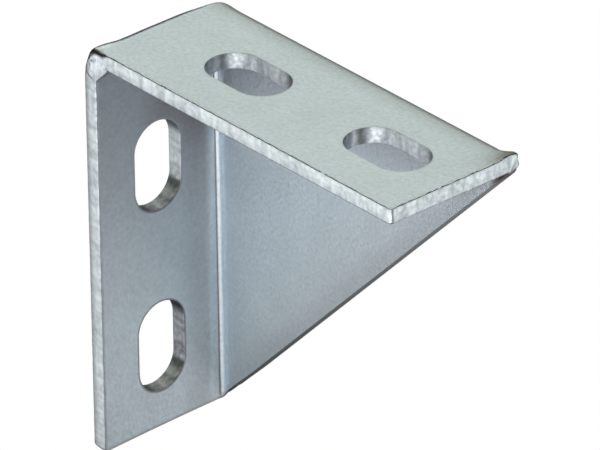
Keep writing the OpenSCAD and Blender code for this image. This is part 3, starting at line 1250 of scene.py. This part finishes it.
def make_floor(view):
    """Round white floor below the bracket, clear from below: rings of points about its middle. The camera
    sees it white, and the bracket is lit by its stops and its bright ring."""
    turn = np.linspace(0, 2 * np.pi, view.floor_facets + 1)[:-1]
    radius = np.linspace(0, view.floor_radius, view.floor_rings + 1)[1:, None]
    points = place(radius * np.cos(turn), radius * np.sin(turn), 0)
    rings = grid_faces(points.shape[:2], True).tolist()
    mesh = bpy.data.meshes.new("floor")
    mesh.from_pydata(points.reshape(-1, 3).tolist(), [], rings + [list(range(view.floor_facets))])
    material, tree, output = new_material("pale_floor")
    white = add_node(tree, "Emission", {"Color": (*WHITE, 1), "Strength": 1.0})
    where = add_node(tree, "TexCoord").outputs["Object"]
    round_about = add_node(tree, "TexGradient", {"Vector": where}, gradient_type="RADIAL")
    ramp = add_node(tree, "ValToRGB", {"Fac": round_about.outputs["Fac"]})
    set_stops(ramp, FLOOR_STOPS, WHITE)
    distance = add_node(tree, "VectorMath", {0: where}, operation="LENGTH")
    reach = add_node(
        tree, "MapRange", {"Value": distance.outputs["Value"], "From Max": view.floor_radius}
    )
    falloff = add_node(tree, "ValToRGB", {"Fac": reach.outputs["Result"]})
    set_stops(falloff, REACH_STOPS, WHITE)
    beside = add_node(
        tree, "Math", {0: distance.outputs["Value"], 1: view.ring_radius}, operation="SUBTRACT"
    )
    away = add_node(tree, "Math", {0: beside.outputs[0]}, operation="ABSOLUTE")
    ring = add_node(
        tree,
        "MapRange",
        {"Value": away.outputs[0], "From Max": view.ring_width, "To Min": view.ring_glow, "To Max": 0.0},
        interpolation_type="SMOOTHSTEP",
    )
    ahead = add_node(tree, "ValToRGB", {"Fac": round_about.outputs["Fac"]})
    set_stops(ahead, RING_STOPS, WHITE)
    base = add_node(
        tree, "Math", {0: falloff.outputs["Color"], 1: ramp.outputs["Color"]}, operation="MULTIPLY"
    )
    strength = add_node(
        tree,
        "Math",
        {0: ring.outputs["Result"], 1: ahead.outputs["Color"], 2: base.outputs[0]},
        operation="MULTIPLY_ADD",
    )
    bounce = add_node(tree, "Emission", {"Strength": strength.outputs[0]})
    lit = glow_shader(tree, white.outputs[0], bounce.outputs[0])
    below = add_node(tree, "NewGeometry").outputs["Backfacing"]
    clear = add_node(tree, "BsdfTransparent").outputs["BSDF"]
    surface = add_node(tree, "MixShader", {0: below, 1: lit, 2: clear})
    tree.links.new(surface.outputs["Shader"], output.inputs["Surface"])
    mesh.materials.append(material)
    floor = bpy.data.objects.new("floor", mesh)
    floor.location = (0, 0, CAD_LOW.z - view.floor_drop)
    bpy.context.scene.collection.objects.link(floor)


def make_room(view):
    """Soft light of the room by height and direction, which the camera sees as white."""
    world = bpy.data.worlds.new("studio")
    world.use_nodes = True
    tree = world.node_tree
    tree.nodes.clear()
    output = add_node(tree, "OutputWorld")
    where = add_node(tree, "TexCoord").outputs["Generated"]
    height = add_node(tree, "SeparateXYZ", {"Vector": where}).outputs["Z"]
    round_about = add_node(tree, "TexGradient", {"Vector": where}, gradient_type="RADIAL")
    sides = add_node(tree, "ValToRGB", {"Fac": round_about.outputs["Fac"]})
    set_stops(sides, SIDE_STOPS, WHITE)
    behind = add_node(tree, "ValToRGB", {"Fac": height})
    set_stops(behind, ROOM_STOPS, ROOM_TINT)
    left = add_node(tree, "ValToRGB", {"Fac": height})
    set_stops(left, LEFT_STOPS, WHITE)
    light = add_node(
        tree,
        "Mix",
        {"Factor": sides.outputs["Color"], 6: behind.outputs["Color"], 7: left.outputs["Color"]},
        data_type="RGBA",
    )
    white = add_node(tree, "Background", {"Color": (*WHITE, 1), "Strength": 1.0})
    room = add_node(tree, "Background", {"Color": light.outputs[2], "Strength": view.back_light})
    lit = glow_shader(tree, white.outputs[0], room.outputs[0])
    tree.links.new(lit, output.inputs["Surface"])
    bpy.context.scene.world = world


def make_camera(view):
    """Camera at the distance from its aim, round and above it, rolled about its line of sight."""
    a, e = view.azimuth, view.elevation
    back = Vector((math.sin(a) * math.cos(e), -math.cos(a) * math.cos(e), math.sin(e)))
    right = Vector((0, 0, 1)).cross(back).normalized()
    right = Matrix.Rotation(-view.roll, 3, back) @ right
    up = back.cross(right)
    data = bpy.data.cameras.new("camera")
    data.lens = view.lens
    data.sensor_width = view.sensor
    data.clip_end = view.sight
    camera = bpy.data.objects.new("camera", data)
    turned = Matrix((right, up, back)).transposed().to_4x4()
    camera.matrix_world = Matrix.Translation(Vector(view.aim) + back * view.distance) @ turned
    bpy.context.scene.collection.objects.link(camera)
    bpy.context.scene.camera = camera


# Operators and panel


class BRACKET_OT_fold_sheet(bpy.types.Operator):
    """Folds the slotted sheet with its sheared edges and plates it"""

    bl_idname = "bracket.fold_sheet"
    bl_label = "Fold the sheet"

    def execute(self, context):
        scene = context.scene
        materials = [make(scene.zinc_finish) for make in (rolled_zinc, sheared_zinc, weld_zinc)]
        patches = sheet_patches(scene.bracket_sizes, {name: getattr(scene, name) for name in CUTS})
        piece = make_piece(scene.bracket_sizes, "bracket_sheet", patches, materials)
        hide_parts(NODE)
        return {"FINISHED"}


class BRACKET_OT_lay_weld(bpy.types.Operator):
    """Lays the weld drop on the free edges at the heel"""

    bl_idname = "bracket.lay_weld"
    bl_label = "Lay the weld"

    def execute(self, context):
        scene = context.scene
        points, chart, weld_shade = weld_surface(scene.bracket_sizes)
        drop = patch(points, closed=True, chart=chart, torn=weld_shade)
        make_piece(scene.bracket_sizes, "weld_drop", [drop], [bpy.data.materials["zinc_plated_weld"]])
        return {"FINISHED"}


class BRACKET_OT_set_stage(bpy.types.Operator):
    """Sets the floor, the light and the camera"""

    bl_idname = "bracket.set_stage"
    bl_label = "Set the stage"

    def execute(self, context):
        view = context.scene.studio_view
        make_floor(view)
        make_room(view)
        make_camera(view)
        context.scene.view_settings.view_transform = "Standard"
        return {"FINISHED"}


class BRACKET_PT_sidebar(bpy.types.Panel):
    """Lists the bracket's sizes, finish and steps"""

    bl_label = "Angle bracket"
    bl_idname = "BRACKET_PT_sidebar"
    bl_space_type = "VIEW_3D"
    bl_region_type = "UI"
    bl_category = "Bracket"

    def draw(self, context):
        for operator in STEPS:
            self.layout.operator(operator.bl_idname)
        for name in GROUPS:
            group = getattr(context.scene, name)
            box = self.layout.box()
            for key in group.__annotations__:
                box.prop(group, key)


CUTS = {
    "free_cut": FreeCut,
    "wall_cut": WallCut,
    "heel_cut": HeelCut,
    "top_slot_cut": TopSlotCut,
    "wall_slot_cut": WallSlotCut,
    "slant_cut": SlantCut,
    "notch_cut": NotchCut,
}
GROUPS = {
    "bracket_sizes": BracketSizes,
    **CUTS,
    "zinc_finish": ZincFinish,
    "studio_view": StudioView,
}
STEPS = (BRACKET_OT_fold_sheet, BRACKET_OT_lay_weld, BRACKET_OT_set_stage)


def register():
    """Registers the classes and hangs the property groups on the scene."""
    for name, group in GROUPS.items():
        bpy.utils.register_class(group)
        setattr(bpy.types.Scene, name, PointerProperty(type=group))
    for step in (*STEPS, BRACKET_PT_sidebar):
        bpy.utils.register_class(step)


def unregister():
    """Takes the classes and the property groups away again."""
    for step in (BRACKET_PT_sidebar, *reversed(STEPS)):
        bpy.utils.unregister_class(step)
    for name, group in GROUPS.items():
        delattr(bpy.types.Scene, name)
        bpy.utils.unregister_class(group)


def main():
    """Builds the bracket and the stage, and writes the CAD box and the visual model's box."""
    register()
    bpy.ops.bracket.fold_sheet()
    bpy.ops.bracket.lay_weld()
    bpy.ops.bracket.set_stage()


if __name__ == "__main__":
    main()
